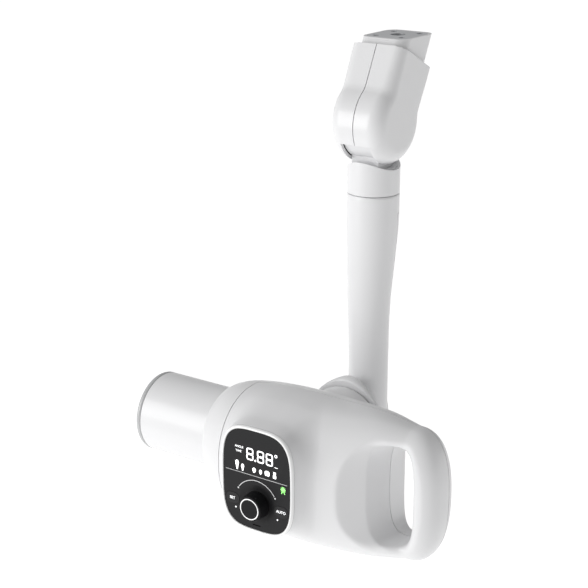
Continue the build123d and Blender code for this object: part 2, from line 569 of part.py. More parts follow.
def build_neck():
    bottom = SWIVEL_Z + 0.9
    base = rod_z(COLLAR_RADIUS - COVER_WALL - 0.2, bottom, 235, 0, STALK_Y) - saddle_cut(SADDLE_RADIUS - 0.8)
    throat = block(-EYE_HALF_WIDTH, EYE_HALF_WIDTH, STALK_Y - 13.5, STALK_Y + 13.5, 210, ELBOW_Z)
    eye = rod_x(EYE_RADIUS, -EYE_HALF_WIDTH, EYE_HALF_WIDTH, ELBOW_Y, ELBOW_Z)
    knuckle = base + throat + eye
    knuckle = knuckle - rod_x(PIN_RADIUS + 2.05, -FAR, FAR, ELBOW_Y, ELBOW_Z)
    knuckle = knuckle - rod_z(SWIVEL_BUSH_RADIUS + SHAFT_FIT, bottom - 1, SPINDLE_SHOULDER_Z + 1, 0, STALK_Y)
    nut_room = rod_z(9.8, SPINDLE_SHOULDER_Z + 0.9, SPINDLE_TOP_Z + 5, 0, STALK_Y)
    knuckle = knuckle - nut_room
    save("neck_knuckle", knuckle)
    collar = tube_z(COLLAR_RADIUS, COLLAR_RADIUS - COVER_WALL, SWIVEL_Z + TURN_GAP, 240, 0, STALK_Y)
    save("neck_collar", collar - saddle_cut(SADDLE_RADIUS))
    bush_top = SPINDLE_SHOULDER_Z + 0.5
    save("swivel_bush", tube_z(SWIVEL_BUSH_RADIUS, SPINDLE_RADIUS + SHAFT_FIT, bottom, bush_top, 0, STALK_Y))
    bushes = []
    bore = PIN_RADIUS + SHAFT_FIT
    for side in (-1, 1):
        inner_x = side * (EYE_HALF_WIDTH - 8)
        face_x = side * EYE_HALF_WIDTH
        sleeve = tube_x(PIN_RADIUS + 2, bore, inner_x, face_x, ELBOW_Y, ELBOW_Z)
        flange = tube_x(PIN_RADIUS + 6, bore, face_x, face_x + side, ELBOW_Y, ELBOW_Z)
        bushes.append(sleeve + flange)
    save("elbow_bushes", group(bushes))


# ---- elbow housing ------------------------------------------------------------------------------
def housing_outline(shrink):
    """Side view: a disc about the elbow axis that runs into a straight shroud along the arm."""
    angle = radians(ARM_ANGLE)
    across = (0, sin(angle), -cos(angle))
    side_plane = Plane(origin=(0, ELBOW_Y, ELBOW_Z), x_dir=across, z_dir=(1, 0, 0))
    length = SHROUD_REACH + 20.0
    outline = Circle(ELBOW_RADIUS - shrink)
    outline = outline + Pos(0, length / 2) * Rectangle(2 * (SHROUD_HALF_DEPTH - shrink), length)
    waist = outline.vertices().filter_by(lambda v: 1.0 < v.Y < SHROUD_REACH)
    return side_plane * fillet(waist, WAIST_RADIUS + shrink)


def housing_solid(shrink):
    half_width = ELBOW_HALF_WIDTH - shrink
    solid = extrude(housing_outline(shrink), amount=half_width, both=True)
    sides = solid.edges().filter_by(lambda e: abs(abs(e.center().X) - half_width) < 0.01)
    return fillet(sides, ELBOW_EDGE - shrink)


ELBOW_SCREWS = [(16.0, -7.5), (16.0, 7.5)]       # along the arm and across it


def arm_point(along, across):
    """(y, z) of a point given along the arm from the elbow axis, and across it."""
    angle = radians(ARM_ANGLE)
    y = ELBOW_Y + along * cos(angle) - across * sin(angle)
    z = ELBOW_Z + along * sin(angle) + across * cos(angle)
    return (y, z)


def build_elbow_housing():
    shell = housing_solid(0) - housing_solid(COVER_WALL)
    shell = shell - ARM_FRAME * Pos(0, 0, SHROUD_REACH + FAR / 2) * Box(FAR, FAR, FAR)
    shell = shell - block(-SLOT_HALF_WIDTH, SLOT_HALF_WIDTH, 0, ELBOW_Y, 200, SLOT_TOP_FRONT)
    shell = shell - block(-SLOT_HALF_WIDTH, SLOT_HALF_WIDTH, ELBOW_Y - 1, FAR, 200, SLOT_TOP_BACK)
    screws = []
    inner_x = -ELBOW_HALF_WIDTH + COVER_WALL
    for along, across in ELBOW_SCREWS:
        y, z = arm_point(along, across)
        shell = shell + rod_x(4.0, inner_x - 0.5, -CHEEK_OUTER_X - 0.1, y, z)
        shell = shell - rod_x(SCREW_HEAD_RADIUS + SEAM, -FAR, inner_x, y, z)
        shell = shell - rod_x(SCREW_SHANK_RADIUS + SHAFT_FIT, inner_x - 1, 0, y, z)
        screws.append(rod_x(SCREW_HEAD_RADIUS, inner_x - SCREW_HEAD_LENGTH, inner_x, y, z)
                      + rod_x(SCREW_SHANK_RADIUS, inner_x, -CHEEK_INNER_X - 0.5, y, z))
    save("elbow_shell_left", shell & block(-FAR, -SEAM / 2, -FAR, FAR, -FAR, FAR))
    save("elbow_shell_right", shell & block(SEAM / 2, FAR, -FAR, FAR, -FAR, FAR))
    save("elbow_screws", group(screws))


# ---- arm ----------------------------------------------------------------------------------------
def arm_box(half_width, half_depth, start, length, radius):
    """Rounded bar along the arm, sawn off level at the arm's end."""
    bar = ARM_FRAME * Pos(0, 0, start + length / 2) * Box(2 * half_width, 2 * half_depth, length)
    edges = bar.edges().filter_by(lambda e: abs(e.length - length) < 0.01)
    return fillet(edges, radius)


def build_arm():
    reach = 90.0
    level = block(-FAR, FAR, -FAR, FAR, -FAR, ARM_END_Z)
    cover = arm_box(ARM_HALF_WIDTH, ARM_HALF_DEPTH, ARM_COVER_START, reach, 10)
    cover = cover - arm_box(ARM_HALF_WIDTH - COVER_WALL, ARM_HALF_DEPTH - COVER_WALL, ARM_COVER_START - 1,
                            reach + 2, 7.5)
    save("arm_cover", cover & level)

    plate_bottom = ARM_END_Z - END_PLATE_THICKNESS
    inset = COVER_WALL + SEAM
    plate = arm_box(ARM_HALF_WIDTH - inset, ARM_HALF_DEPTH - inset, ARM_COVER_START, reach, 7.2)
    plate = plate & block(-FAR, FAR, -FAR, FAR, plate_bottom, ARM_END_Z)
    plate = plate - rod_z(CABLE_HOLE_RADIUS, plate_bottom - 1, ARM_END_Z + 1, 0, ARM_END_Y)
    for x in (-END_BOLT_SPACING[0] / 2, END_BOLT_SPACING[0] / 2):
        for dy in (-END_BOLT_SPACING[1] / 2, END_BOLT_SPACING[1] / 2):
            plate = plate - rod_z(END_BOLT_RADIUS, plate_bottom - 1, ARM_END_Z + 1, x, ARM_END_Y + dy)
    save("arm_end_plate", plate)

    beam = arm_box(BEAM_HALF, BEAM_HALF, CLEVIS_WEB[1], reach, 3)
    beam = beam - arm_box(BEAM_HALF - BEAM_WALL, BEAM_HALF - BEAM_WALL, CLEVIS_WEB[1] - 1, reach + 2, 1.5)
    save("arm_beam", beam & block(-FAR, FAR, -FAR, FAR, -FAR, plate_bottom))
    build_clevis()


def build_clevis():
    web = ARM_FRAME * Pos(0, 0, sum(CLEVIS_WEB) / 2) * Box(
        2 * CHEEK_OUTER_X, 2 * BEAM_HALF, CLEVIS_WEB[1] - CLEVIS_WEB[0])
    clevis = web
    for side in (-1, 1):
        x0 = side * CHEEK_INNER_X
        x1 = side * CHEEK_OUTER_X
        boss = rod_x(BEAM_HALF, x0, x1, ELBOW_Y, ELBOW_Z)
        strap_length = CLEVIS_WEB[0] + 1
        strap = ARM_FRAME * Pos((x0 + x1) / 2, 0, strap_length / 2) * Box(
            CHEEK_OUTER_X - CHEEK_INNER_X, 2 * BEAM_HALF, strap_length)
        clevis = clevis + boss + strap
    clevis = clevis - rod_x(PIN_RADIUS + SHAFT_FIT, -FAR, FAR, ELBOW_Y, ELBOW_Z)
    for along, across in ELBOW_SCREWS:
        y, z = arm_point(along, across)
        screw_hole = rod_x(SCREW_SHANK_RADIUS + SHAFT_FIT, -CHEEK_OUTER_X - 1, -CHEEK_INNER_X + 1, y, z)
        clevis = clevis - screw_hole
    cable_way = ARM_FRAME * Pos(0, 0, sum(CLEVIS_WEB) / 2) * Cylinder(CABLE_HOLE_RADIUS, FAR / 10)
    save("elbow_clevis", clevis - cable_way)
    pin_end = CHEEK_OUTER_X + 2.5
    pin = rod_x(PIN_RADIUS, -pin_end, pin_end, ELBOW_Y, ELBOW_Z)
    clips = []
    for side in (-1, 1):
        clip_x = side * (CHEEK_OUTER_X + 0.1)
        pin = pin - tube_x(PIN_RADIUS + 1, PIN_RADIUS - 0.8, clip_x, clip_x + side * 1.2, ELBOW_Y, ELBOW_Z)
        clips.append(tube_x(PIN_RADIUS + 2.5, PIN_RADIUS - 0.7, clip_x, clip_x + side, ELBOW_Y, ELBOW_Z))
    save("elbow_pin", pin)
    save("elbow_circlips", group(clips))


# ---- build everything ---------------------------------------------------------------------------
os.makedirs("parts", exist_ok=True)
build_head_casing()
build_cone()
build_generator()
build_boards()
build_panel()
build_knob()
build_tilt_joint()
build_stalk()
build_neck()
build_elbow_housing()
build_arm()
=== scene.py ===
"""Looks of the intraoral x-ray unit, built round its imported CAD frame.

The moulded casings are smooth closed skins taken from distance fields, cut along their real seams.
Sizes are in millimetres: the cone points to -x, the control panel faces -y, +z is up, and y = 0, z = 0
is the beam axis. ARM_END is the frame's origin in those terms; to_frame() moves points there, in metres.
"""
import json
from math import cos, pi, radians, sin, sqrt

import bmesh
import bpy
import numpy as np
from mathutils import Matrix, Vector


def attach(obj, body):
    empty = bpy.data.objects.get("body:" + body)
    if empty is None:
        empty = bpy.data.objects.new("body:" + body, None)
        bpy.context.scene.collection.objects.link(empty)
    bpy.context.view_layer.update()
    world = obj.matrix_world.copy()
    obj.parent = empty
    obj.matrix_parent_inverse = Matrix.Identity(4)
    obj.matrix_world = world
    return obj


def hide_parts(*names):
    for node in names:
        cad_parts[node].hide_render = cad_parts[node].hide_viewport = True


MM = 0.001
ARM_END = Vector((0.0, 121.374, 321.0))

# ---- sizes --------------------------------------------------------------------------------------
SEAM = 0.7                     # gap between two casings that meet
SEAM_EDGE = 0.4                # rounding of the casings' edges along it
WALL = 2.4

# reach of the head's casing from the beam axis: x, front, back, top, bottom, squareness
HEAD_STATIONS = [
    (-84.0, 35.6, 35.6, 35.6, -35.6, 2.00),
    (-80.5, 40.0, 39.5, 39.0, -41.0, 2.00),
    (-70.0, 46.0, 44.0, 44.0, -50.0, 2.10),
    (-55.0, 50.5, 46.5, 47.0, -58.5, 2.20),
    (-30.0, 53.5, 47.0, 49.5, -66.0, 2.30),
    (0.0, 53.0, 46.0, 50.5, -70.0, 2.35),
    (35.0, 45.0, 42.0, 50.5, -71.0, 2.40),
    (70.0, 33.0, 33.0, 49.5, -69.0, 2.50),
    (95.0, 25.0, 25.0, 45.5, -64.5, 2.50),
]
HEAD_END_X = 123.8             # far end of the grip
END_HEIGHT_POWER = 2.6         # squareness of the grip's end, seen from the side
END_DEPTH_POWER = 3.2          # and seen from above
NOSE_X = -84.0
NOSE_SEAM_X = -56.0
PARTING_Y = 5.0
MOUTH_RADIUS = 34.4
MOUTH_DEPTH = 6.0              # the mouth reaches this far past the nose seam
RIM_ROUND = 1.5                # rounding of the nose, the mouth and the hub

# opening of the grip, from the scoop in front to the back: y, left, right, top, bottom
GRIP_OVALS = [
    (-62.0, 33.5, 150.0, 70.0, -100.0),
    (-20.0, 64.5, 105.0, 33.0, -52.0),
    (5.0, 71.0, 104.0, 31.5, -50.5),
    (60.0, 67.0, 108.0, 36.0, -55.0),
]
GRIP_POWER = 3.0
GRIP_BAR_X = (60.0, 98.0)      # the edge grows rounder from the first to the second
SCOOP_ROUND = 1.0              # edge radius beside the casing
BAR_ROUND = 8.0                # edge radius on the bar that the hand holds

PANEL_X = -11.1                # centre of the control panel
PANEL_Z = -5.4
PANEL_HALF_X = 32.2
PANEL_HALF_Z = 42.0
PANEL_POWER = 3.6
PANEL_FACE_Y = -60.0
BEZEL_LIP = 2.3
BEZEL_PROUD = 0.8
POD_FACE_Y = -57.5
POD_ROOT_Y = -22.0
POD_FLARE = 6.5
POD_FILLET = 9.0
KNOB_Z = -25.5

TILT_Z = 6.0                   # height of the axis that the head tilts about
HUB_RADIUS = 34.5
HUB_FACE_Y = 50.0
HUB_FILLET = 3.0
FOOT_RADIUS = 37.8
FOOT_FACE_Y = 51.0
FOOT_RIM = 3.0
FOOT_TUBE_RADIUS = 17.0
FOOT_TUBE_END_Y = 92.0
FOOT_RIM_ROUND = 1.2
FOOT_FILLET = 20.0
FOOT_BLEND = (29.0, 2.0)       # sweep from the column into the foot disc, in front and behind
FOOT_BLEND_Y = (58.0, 82.0)

STALK_TOP_Z = 198.0
STALK_TOP_ROUND = 0.8
# stalk: z, half width, half depth, y of its middle
STALK_STATIONS = [
    (6.0, 17.2, 15.6, 84.6),
    (60.0, 17.2, 15.6, 84.6),
    (105.0, 18.2, 16.5, 84.0),
    (140.0, 19.9, 19.0, 86.0),
    (172.0, 21.4, 21.2, 87.7),
    (198.0, 21.5, 21.5, 88.0),
]
BACK_COVER_Y = 92.0
BACK_COVER_TOP = 182.0

ELBOW_Y = 88.0
ELBOW_Z = 255.5
ELBOW_RADIUS = 32.5
ELBOW_HALF_WIDTH = 25.0
BULB_EDGE = 13.0               # rounding of the housing's side edges, below and at the rim
RIM_EDGE = 9.0
HOUSING_EDGE_ALONG = (-20.0, 45.0)   # where along the arm the one turns into the other
SHROUD_SPARE = 4.0             # skin past the rim, which is cut away
ARM_ANGLE = radians(63.0)
SHROUD_HALF_DEPTH = 27.0       # the straight part of the elbow housing, across the arm
SHROUD_REACH = 55.3            # its rim, along the arm from the elbow axis
WAIST_RADIUS = 15.0            # where the round lower part meets the straight upper part
SLOT_HALF_WIDTH = 13.4
SLOT_TOP_FRONT = 241.0
SLOT_TOP_BACK = 262.0

# screws that close the casings: x, z and the y at which each head sits
HEAD_SCREWS = [(-40.0, 34.0, 27.0), (-40.0, -53.0, 28.0), (44.0, 36.0, 24.0), (44.0, -57.0, 24.0),
               (114.5, -8.0, 12.0)]
STALK_SCREWS = [(0.0, 150.0, 100.0), (0.0, 95.0, 96.5), (0.0, 45.0, 96.5)]
ELBOW_SCREWS = [(16.0, -7.5), (16.0, 7.5)]       # along the arm and across it
ELBOW_SCREW_SEAT = 22.5        # on the -x side
SCREW_WELL_RADIUS = 3.2
SCREW_WELL_ROUND = 0.3

# space searched for each skin, and the step of its grid
HEAD_SPACE = ((-88.0, -62.0, -76.0), (128.0, 53.0, 56.0))
HEAD_STEP = 1.25
STALK_SPACE = ((-45.0, 46.0, -40.0), (45.0, 114.0, 202.0))
STALK_STEP = 1.2
ELBOW_SPACE = ((-28.0, 50.0, 218.0), (28.0, 150.0, 326.0))
ELBOW_STEP = 1.1
SETTLE_ROUNDS = 6
SPLIT_SNAP = 0.4               # corners nearer to a cut than this move onto it

CONE_RADIUS = 34.0
CONE_BORE = 31.5
CONE_TIP_X = -152.0
CONE_INNER_X = -62.0
RING_TIP_X = -156.5


# ---- distance fields ----------------------------------------------------------------------------
def smooth_through(at, knots, values):
    """Smooth curve through the knots, level beyond them."""
    knots = np.asarray(knots, dtype=float)
    values = np.asarray(values, dtype=float)
    slopes = np.gradient(values, knots)
    i = np.clip(np.searchsorted(knots, at) - 1, 0, len(knots) - 2)
    width = knots[i + 1] - knots[i]
    t = np.clip((at - knots[i]) / width, 0.0, 1.0)
    start = (2 * t**3 - 3 * t**2 + 1) * values[i] + (t**3 - 2 * t**2 + t) * width * slopes[i]
    end = (3 * t**2 - 2 * t**3) * values[i + 1] + (t**3 - t**2) * width * slopes[i + 1]
    return start + end


def oval(u, v, power):
    """1 on a superellipse with unit halves; power 2 is round, a larger power is squarer."""
    return (np.abs(u) ** power + np.abs(v) ** power) ** (1.0 / power)


def as_distance(form, step):
    """Distances from a form that is 1 on the surface and grows outwards."""
    slopes = np.gradient(form, step)
    steepness = np.sqrt(sum(slope * slope for slope in slopes))
    return (form - 1.0) / np.maximum(steepness, 1e-4)


def join(a, b, radius):
    """Both solids, with a concave fillet where they meet."""
    u = np.maximum(radius - a, 0.0)
    v = np.maximum(radius - b, 0.0)
    return np.maximum(radius, np.minimum(a, b)) - np.sqrt(u * u + v * v)


def common(a, b, radius):
    """What both solids share, with its new edge rounded."""
    return -join(-a, -b, radius)


def grid(low, high, step):
    axes = [np.arange(a, b + step, step) for a, b in zip(low, high)]
    return np.meshgrid(*axes, indexing="ij", sparse=True)


# ---- from a distance field to a mesh ------------------------------------------------------------
def net_corners(field):
    """One point in each cell that the surface crosses: the middle of its edge crossings."""
    cells = tuple(n - 1 for n in field.shape)
    total = np.zeros(cells + (3,))
    count = np.zeros(cells)
    for axis in range(3):
        others = [a for a in range(3) if a != axis]
        before = np.take(field, range(cells[axis]), axis)
        after = np.take(field, range(1, cells[axis] + 1), axis)
        crosses = (before < 0) != (after < 0)
        share = np.where(crosses, before / np.where(crosses, before - after, 1.0), 0.0)
        for du in (0, 1):
            for dv in (0, 1):
                window = [slice(None)] * 3
                window[others[0]] = slice(du, du + cells[others[0]])
                window[others[1]] = slice(dv, dv + cells[others[1]])
                crossed = crosses[tuple(window)]
                total[..., axis] += share[tuple(window)]
                total[..., others[0]] += du * crossed
                total[..., others[1]] += dv * crossed
                count += crossed
    used = count > 0
    corners = np.argwhere(used) + total[used] / count[used][:, None]
    index = np.full(cells, -1)
    index[used] = np.arange(len(corners))
    return corners, index


def net_quads(inside, index):
    """A quad across each grid edge that passes through the surface, facing outwards."""
    quads = []
    for axis in range(3):
        u = (axis + 1) % 3
        v = (axis + 2) % 3
        before = np.take(inside, range(inside.shape[axis] - 1), axis)
        after = np.take(inside, range(1, inside.shape[axis]), axis)
        edges = np.argwhere(before != after)
        free = (edges[:, u] > 0) & (edges[:, v] > 0)
        free &= (edges[:, u] < index.shape[u]) & (edges[:, v] < index.shape[v])
        edges = edges[free]
        ring = []
        for back_u, back_v in ((0, 0), (1, 0), (1, 1), (0, 1)):
            cell = edges.copy()
            cell[:, u] -= back_u
            cell[:, v] -= back_v
            ring.append(index[tuple(cell.T)])
        ring = np.stack(ring, axis=1)
        leaving = before[tuple(edges.T)]
        quads.append(np.where(leaving[:, None], ring, ring[:, ::-1]))
    return np.concatenate(quads)


def sample(volume, points):
    """Values between grid points, by trilinear mixing."""
    top = np.array(volume.shape[:3]) - 2
    base = np.clip(np.floor(points).astype(int), 0, top)
    part = points - base
    value = 0.0
    for di in (0, 1):
        for dj in (0, 1):
            for dk in (0, 1):
                weight = np.prod(np.where([di, dj, dk], part, 1.0 - part), axis=1)
                value = value + weight[:, None] * volume[base[:, 0] + di, base[:, 1] + dj, base[:, 2] + dk]
    return value


def settle(points, quads, field):
    """Evens the corners out and draws them onto the surface."""
    volume = np.stack([field, *np.gradient(field)], axis=-1)
    starts = quads.ravel()
    ends = np.roll(quads, -1, axis=1).ravel()
    near = np.bincount(starts, minlength=len(points)) + np.bincount(ends, minlength=len(points))
    for _ in range(SETTLE_ROUNDS):
        mean = np.zeros_like(points)
        for axis in range(3):
            mean[:, axis] = np.bincount(starts, points[ends, axis], len(points))
            mean[:, axis] += np.bincount(ends, points[starts, axis], len(points))
        points = 0.5 * points + 0.5 * mean / np.maximum(near, 1)[:, None]
        for _ in range(2):
            found = sample(volume, points)
            slope = found[:, 1:]
            steep = np.maximum((slope * slope).sum(axis=1), 0.05)
            points = points - slope * np.clip(found[:, 0] / steep, -0.7, 0.7)[:, None]
    return points


def skin(field, low, step):
    """(corners, quads) of a closed skin over the zero surface of the field."""
    inside = field < 0
    corners, index = net_corners(field)
    quads = net_quads(inside, index)
    corners = settle(corners, quads, field / step)
    return np.asarray(low) + corners * step, quads


# ---- objects ------------------------------------------------------------------------------------
def to_frame(mesh):
    mesh.transform(Matrix.Scale(MM, 4) @ Matrix.Translation(-ARM_END))


def new_object(name, mesh, body, material):
    to_frame(mesh)
    obj = bpy.data.objects.new(name, mesh)
    bpy.context.scene.collection.objects.link(obj)
    mesh.materials.append(material)
    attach(obj, body)
    return obj


def split_at(bm, axis, value):
    """New edges where the skin crosses a plane; corners just beside it move onto it."""
    for vert in bm.verts:
        if abs(vert.co[axis] - value) < SPLIT_SNAP:
            vert.co[axis] = value
    normal = Vector((0, 0, 0))
    normal[axis] = 1.0
    geometry = [*bm.verts, *bm.edges, *bm.faces]
    bmesh.ops.bisect_plane(bm, geom=geometry, dist=1e-5, plane_co=normal * value, plane_no=normal)


def cut_piece(name, skin_data, planes, drop, body, material, wall=WALL):
    """The part of a skin left after splitting it at the planes and dropping the faces named by drop."""
    corners, quads = skin_data
    mesh = bpy.data.meshes.new(name)
    mesh.from_pydata(corners.tolist(), [], quads.tolist())
    bm = bmesh.new()
    bm.from_mesh(mesh)
    for axis, value in planes:
        split_at(bm, axis, value)
    bm.faces.ensure_lookup_table()
    gone = [face for face in bm.faces if drop(*face.calc_center_median())]
    bmesh.ops.delete(bm, geom=gone, context="FACES")
    for face in bm.faces:
        face.smooth = True
    bm.to_mesh(mesh)
    bm.free()
    obj = new_object(name, mesh, body, material)
    solidify = obj.modifiers.new("wall", "SOLIDIFY")
    solidify.thickness = wall * MM
    solidify.offset = -1.0
    soften(obj, SEAM_EDGE)
    return obj


def soften(obj, width, segments=2, angle=40.0):
    bevel = obj.modifiers.new("edges", "BEVEL")
    bevel.width = width * MM
    bevel.segments = segments
    bevel.limit_method = "ANGLE"
    bevel.angle_limit = radians(angle)
    bevel.harden_normals = True
    return bevel


def loop_mesh(name, loops, closed=True):
    """A mesh over rings of points that all have the same number of points."""
    rings = len(loops)
    size = len(loops[0])
    points = [point for loop in loops for point in loop]
    faces = []
    for i in range(rings if closed else rings - 1):
        for j in range(size):
            a = i * size + j
            b = i * size + (j + 1) % size
            c = ((i + 1) % rings) * size + (j + 1) % size
            d = ((i + 1) % rings) * size + j
            faces.append((a, b, c, d))
    mesh = bpy.data.meshes.new(name)
    mesh.from_pydata(points, [], faces)
    bm = bmesh.new()
    bm.from_mesh(mesh)
    bmesh.ops.recalc_face_normals(bm, faces=bm.faces)
    for face in bm.faces:
        face.smooth = True
    bm.to_mesh(mesh)
    bm.free()
    return mesh


def turned_about_x(name, profile, segments=128):
    """A ring turned about the beam axis from a closed profile of (x, radius)."""
    loops = []
    for x, radius in profile:
        turns = [2 * pi * i / segments for i in range(segments)]
        loops.append([(x, radius * sin(t), radius * cos(t)) for t in turns])
    return loop_mesh(name, loops)


def panel_loop(grow, y, count=160):
    loop = []
    for i in range(count):
        turn = 2 * pi * i / count
        c = cos(turn)
        s = sin(turn)
        u = (PANEL_HALF_X + grow) * abs(c) ** (2 / PANEL_POWER) * (1 if c >= 0 else -1)
        v = (PANEL_HALF_Z + grow) * abs(s) ** (2 / PANEL_POWER) * (1 if s >= 0 else -1)
        loop.append((PANEL_X + u, y, PANEL_Z + v))
    return loop


# ---- casings ------------------------------------------------------------------------------------
def head_body(x, y, z, step):
    """Distance from the head's main form."""
    along = x[:, 0, 0]
    stations = np.array(HEAD_STATIONS)
    front, back, top, bottom, power = [
        smooth_through(along, stations[:, 0], stations[:, k])[:, None, None] for k in range(1, 6)]
    last_x = stations[-1, 0]
    share = np.clip((along - last_x) / (HEAD_END_X - last_x), 0.0, None)[:, None, None]
    inner_share = np.minimum(share, 0.99)
    shrink = (1 - 0.2 * inner_share) * (1 - inner_share**END_DEPTH_POWER) ** (1 / END_DEPTH_POWER)
    shrink = shrink / (1 - inner_share**END_HEIGHT_POWER) ** (1 / END_HEIGHT_POWER)
    half_y = np.where(y < 0, front, back) * shrink
    half_z = (top - bottom) / 2
    middle = (top + bottom) / 2
    across = oval(y / half_y, (z - middle) / half_z, power)
    return as_distance(oval(across, share, END_HEIGHT_POWER), step)


def panel_pod(x, y, z, step):
    share = np.clip((y - POD_FACE_Y) / (POD_ROOT_Y - POD_FACE_Y), 0.0, 1.0)
    grow = BEZEL_LIP + POD_FLARE * share
    form = oval((x - PANEL_X) / (PANEL_HALF_X + grow), (z - PANEL_Z) / (PANEL_HALF_Z + grow), PANEL_POWER)
    return np.maximum(as_distance(form, step), y)


def grip_opening(x, y, z, step):
    ovals = np.array(GRIP_OVALS)
    left, right, top, bottom = [np.interp(y, ovals[:, 0], ovals[:, k]) for k in range(1, 5)]
    u = (x - (left + right) / 2) / ((right - left) / 2)
    v = (z - (top + bottom) / 2) / ((top - bottom) / 2)
    return as_distance(oval(u, v, GRIP_POWER), step)


def wells_behind(solid, x, y, z, screws):
    """Sinks a round well for each screw head into the solid's back."""
    for screw_x, screw_z, seat in screws:
        well = np.maximum(np.hypot(x - screw_x, z - screw_z) - SCREW_WELL_RADIUS, seat - y)
        solid = common(solid, -well, SCREW_WELL_ROUND)
    return solid


def head_skin():
    low, high = HEAD_SPACE
    step = HEAD_STEP
    x, y, z = grid(low, high, step)
    head = join(head_body(x, y, z, step), panel_pod(x, y, z, step), POD_FILLET)
    hub = common(np.hypot(x, z - TILT_Z) - HUB_RADIUS, y - HUB_FACE_Y, RIM_ROUND)
    head = join(head, np.maximum(hub, -y), HUB_FILLET)
    edge = np.interp(x, GRIP_BAR_X, (SCOOP_ROUND, BAR_ROUND))
    head = common(head, -grip_opening(x, y, z, step), edge)
    head = common(head, NOSE_X - x, RIM_ROUND)
    mouth = np.maximum(np.hypot(y, z) - MOUTH_RADIUS, x - (NOSE_SEAM_X + MOUTH_DEPTH))
    head = common(head, -mouth, RIM_ROUND)
    head = wells_behind(head, x, y, z, HEAD_SCREWS)
    return skin(head, low, step)


def stalk_skin():
    low, high = STALK_SPACE
    step = STALK_STEP
    x, y, z = grid(low, high, step)
    stations = np.array(STALK_STATIONS)
    up = z[0, 0, :]
    half_x, half_y, middle = [
        smooth_through(up, stations[:, 0], stations[:, k])[None, None, :] for k in range(1, 4)]
    side = np.hypot(x, np.minimum(z - TILT_Z, 0.0))
    column = as_distance(oval(side / half_x, (y - middle) / half_y, 2.0), step)
    column = common(column, z - STALK_TOP_Z, STALK_TOP_ROUND)
    reach = np.hypot(x, z - TILT_Z)
    tube = np.maximum(reach - FOOT_TUBE_RADIUS, y - FOOT_TUBE_END_Y)
    rim = common(reach - FOOT_RADIUS, y - (FOOT_FACE_Y + FOOT_RIM), FOOT_RIM_ROUND)
    foot = join(rim, tube, FOOT_FILLET)
    stalk = join(foot, column, np.interp(y, FOOT_BLEND_Y, FOOT_BLEND))
    stalk = wells_behind(stalk, x, y, z, STALK_SCREWS)
    return skin(np.maximum(stalk, FOOT_FACE_Y - y), low, step)


def elbow_outline(along, across):
    """Distance from the elbow's side view: a disc, a concave waist, then a straight shroud."""
    away = np.abs(across)
    waist_away = SHROUD_HALF_DEPTH + WAIST_RADIUS
    waist_along = sqrt((ELBOW_RADIUS + WAIST_RADIUS) ** 2 - waist_away**2)
    on_disc = along * waist_away < away * waist_along
    disc_part = np.hypot(along, away) - ELBOW_RADIUS
    waist = WAIST_RADIUS - np.hypot(along - waist_along, away - waist_away)
    straight = away - SHROUD_HALF_DEPTH
    return np.where(on_disc, disc_part, np.where(along < waist_along, waist, straight))


def elbow_skin():
    low, high = ELBOW_SPACE
    step = ELBOW_STEP
    x, y, z = grid(low, high, step)
    dy = y - ELBOW_Y
    dz = z - ELBOW_Z
    along = dy * cos(ARM_ANGLE) + dz * sin(ARM_ANGLE)
    across = dz * cos(ARM_ANGLE) - dy * sin(ARM_ANGLE)
    edge = smooth_through(along, HOUSING_EDGE_ALONG, (BULB_EDGE, RIM_EDGE))
    housing = common(elbow_outline(along, across), np.abs(x) - ELBOW_HALF_WIDTH, edge)
    for screw_along, screw_across in ELBOW_SCREWS:
        reach = np.hypot(along - screw_along, across - screw_across)
        well = np.maximum(reach - SCREW_WELL_RADIUS, x + ELBOW_SCREW_SEAT)
        housing = common(housing, -well, SCREW_WELL_ROUND)
    return skin(np.maximum(housing, along - SHROUD_REACH - SHROUD_SPARE), low, step)


def build_head(paint):
    data = head_skin()
    gap = SEAM / 2

    def outside_main(x, y, z):
        behind_mouth = x < NOSE_SEAM_X + MOUTH_DEPTH + 1.0 and y * y + z * z < (MOUTH_RADIUS + 1.0) ** 2
        return x < NOSE_SEAM_X + gap or behind_mouth

    nose = cut_piece("nose_ring", data, [(0, NOSE_SEAM_X - gap)], lambda x, y, z: x > NOSE_SEAM_X - gap,
                     "head", paint["casing"])
    front = cut_piece("front_casing", data, [(0, NOSE_SEAM_X + gap), (1, PARTING_Y - gap), (1, POD_FACE_Y)],
                      lambda x, y, z: outside_main(x, y, z) or y > PARTING_Y - gap or y < POD_FACE_Y,
                      "head", paint["casing"])
    back = cut_piece("back_casing", data, [(0, NOSE_SEAM_X + gap), (1, PARTING_Y + gap)],
                     lambda x, y, z: outside_main(x, y, z) or y < PARTING_Y + gap,
                     "head", paint["cover"])
    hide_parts("head_nose_ring")
    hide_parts("head_front_shell")
    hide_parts("head_back_shell")


def build_stalk(paint):
    data = stalk_skin()
    gap = SEAM / 2

    def in_cover(y, z, grow):
        return y > BACK_COVER_Y - grow and z < BACK_COVER_TOP + grow

    shell = cut_piece("stalk_casing", data, [(1, BACK_COVER_Y - gap), (2, BACK_COVER_TOP + gap)],
                      lambda x, y, z: in_cover(y, z, gap), "stalk", paint["casing"])
    cover = cut_piece("stalk_rear_cover", data, [(1, BACK_COVER_Y + gap), (2, BACK_COVER_TOP - gap)],
                      lambda x, y, z: not in_cover(y, z, -gap), "stalk", paint["cover"])
    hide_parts("stalk_shell")
    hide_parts("stalk_back_cover")


